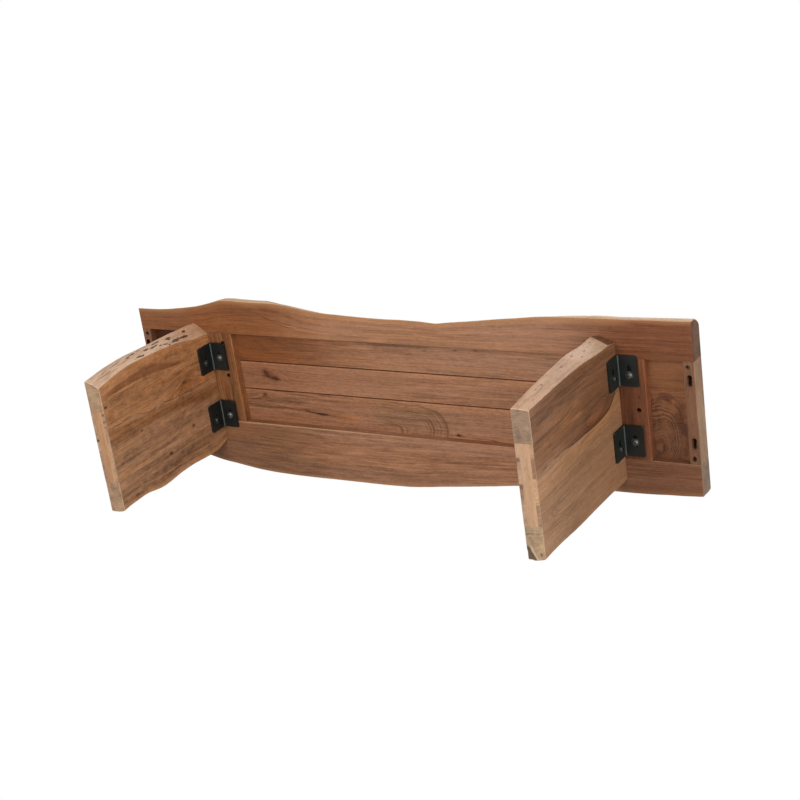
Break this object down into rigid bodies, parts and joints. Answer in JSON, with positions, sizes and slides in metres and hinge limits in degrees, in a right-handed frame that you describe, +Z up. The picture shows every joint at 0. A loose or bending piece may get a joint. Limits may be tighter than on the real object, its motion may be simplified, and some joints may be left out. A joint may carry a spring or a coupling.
{
  "type": "dining bench",
  "caption": "Live-edge solid wood dining bench: thick wavy-edged seat with a recessed underside, carried on slab legs held by black steel angle brackets and bolts.",
  "frame": {"origin": "on the floor, under the middle of the bench's box", "axes": "+Z up, +X along the bench, +Y towards the edge with the wider live-edge board"},
  "size_m": [1.48, 0.4597, 0.457],
  "materials": {
    "seat_wood": "satin oiled live-edge board, warm mid brown",
    "plank_wood": "satin oiled plank, warm mid brown",
    "rail_wood": "satin oiled rail, warm mid brown",
    "leg_wood": "satin oiled leg board, warm mid brown",
    "core_wood": "bare pale core wood",
    "bracket_steel": "satin black powder coat",
    "bolt_steel": "zinc plated",
    "screw_steel": "zinc plated",
    "insert_brass": "plain"
  },
  "bodies": {
    "root": {"front_live_edge_board": "seat_wood", "rear_live_edge_board": "seat_wood", "front_seat_plank": "plank_wood", "middle_seat_plank": "plank_wood", "rear_seat_plank": "plank_wood", "left_leg_rail": "rail_wood", "right_leg_rail": "rail_wood", "left_end_rail": "rail_wood", "right_end_rail": "rail_wood", "leg_rail_screws": "screw_steel", "end_rail_screws": "screw_steel", "leg_rail_dowels": "core_wood", "left_leg_front_stile": "leg_wood", "left_leg_rear_stile": "leg_wood", "left_leg_inner_panel": "leg_wood", "left_leg_outer_panel": "leg_wood", "left_leg_foot_rail": "core_wood", "left_leg_head_rail": "core_wood", "right_leg_front_stile": "leg_wood", "right_leg_rear_stile": "leg_wood", "right_leg_inner_panel": "leg_wood", "right_leg_outer_panel": "leg_wood", "right_leg_foot_rail": "core_wood", "right_leg_head_rail": "core_wood", "left_inner_front_bracket": "bracket_steel", "left_inner_rear_bracket": "bracket_steel", "left_outer_front_bracket": "bracket_steel", "left_outer_rear_bracket": "bracket_steel", "right_inner_front_bracket": "bracket_steel", "right_inner_rear_bracket": "bracket_steel", "right_outer_front_bracket": "bracket_steel", "right_outer_rear_bracket": "bracket_steel", "seat_bolts": "bolt_steel", "leg_bolts": "bolt_steel", "seat_bolt_washers": "bolt_steel", "leg_bolt_washers": "bolt_steel", "seat_threaded_inserts": "insert_brass", "leg_threaded_inserts": "insert_brass"}
  },
  "joints": []
}
